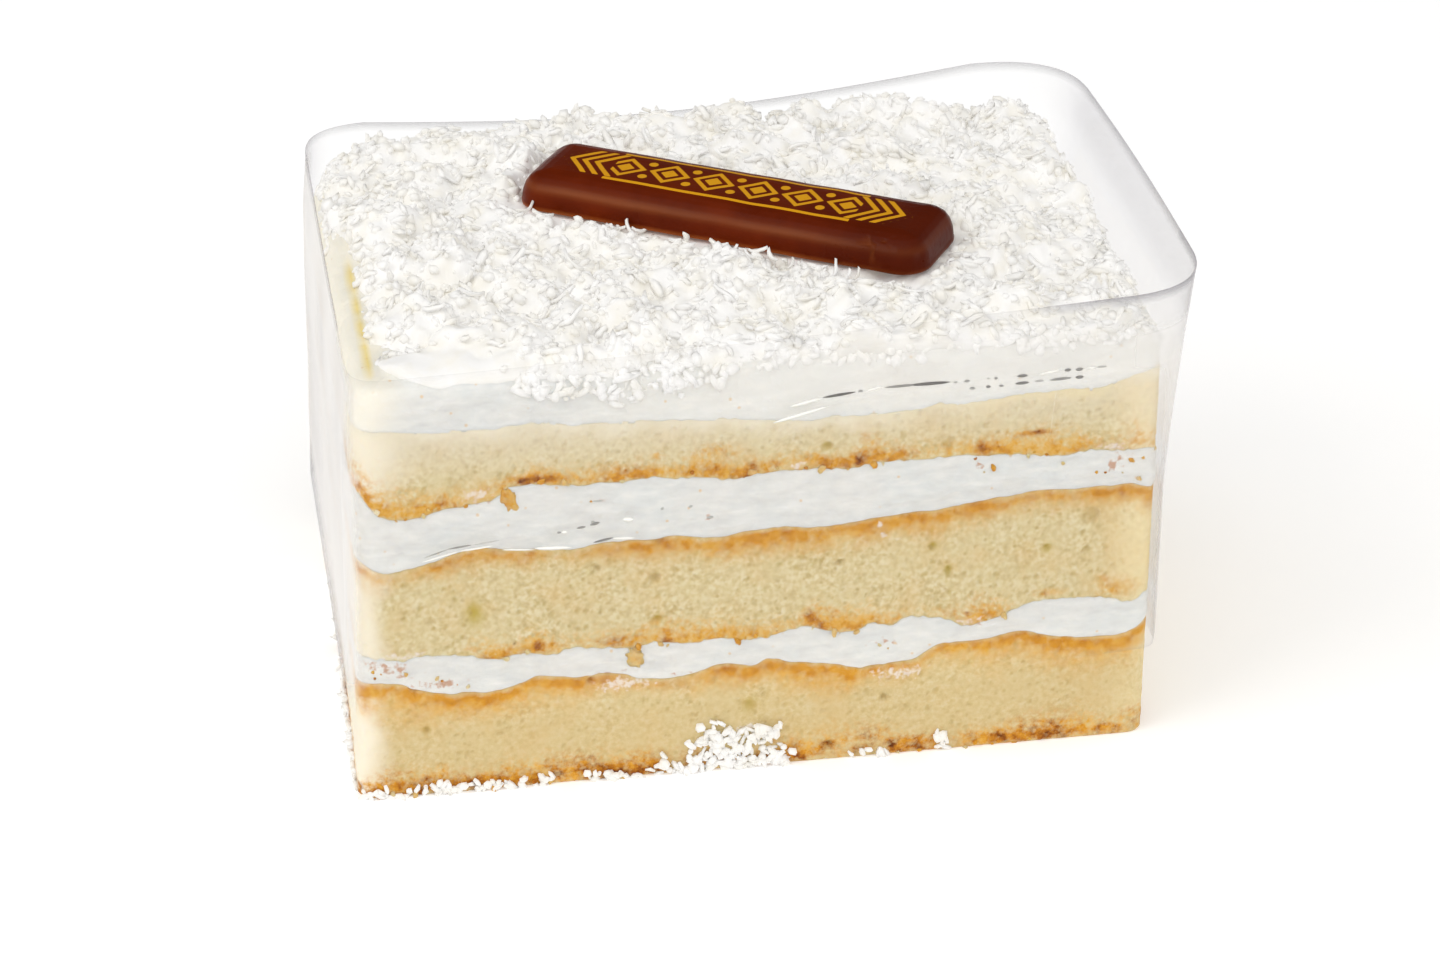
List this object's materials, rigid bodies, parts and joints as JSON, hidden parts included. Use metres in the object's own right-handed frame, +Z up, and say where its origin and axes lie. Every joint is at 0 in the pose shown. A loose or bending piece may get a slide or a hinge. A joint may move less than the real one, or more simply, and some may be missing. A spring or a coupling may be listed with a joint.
{
  "type": "slice of vanilla layer cake",
  "caption": "Rectangular slice of vanilla sponge cake with two cream fillings, a heap of shredded coconut and a chocolate bar on top, standing in a clear open collar.",
  "frame": {"origin": "on the flat underside, in the middle of the block of cake", "axes": "+Z up, +X along the long cut face, which looks towards -Y"},
  "size_m": [0.106, 0.074, 0.0641],
  "materials": {
    "sponge": "open crumb",
    "cream": "smeared whipped cream",
    "coconut": "dry shreds",
    "chocolate": "satin moulded chocolate",
    "film": "clear film"
  },
  "bodies": {
    "root": {"sponge_bottom": "sponge", "cream_lower": "cream", "sponge_middle": "sponge", "cream_upper": "cream", "sponge_top": "sponge", "cream_top": "cream", "coconut_topping": "coconut", "chocolate_bar": "chocolate", "film_collar": "film"}
  },
  "joints": []
}
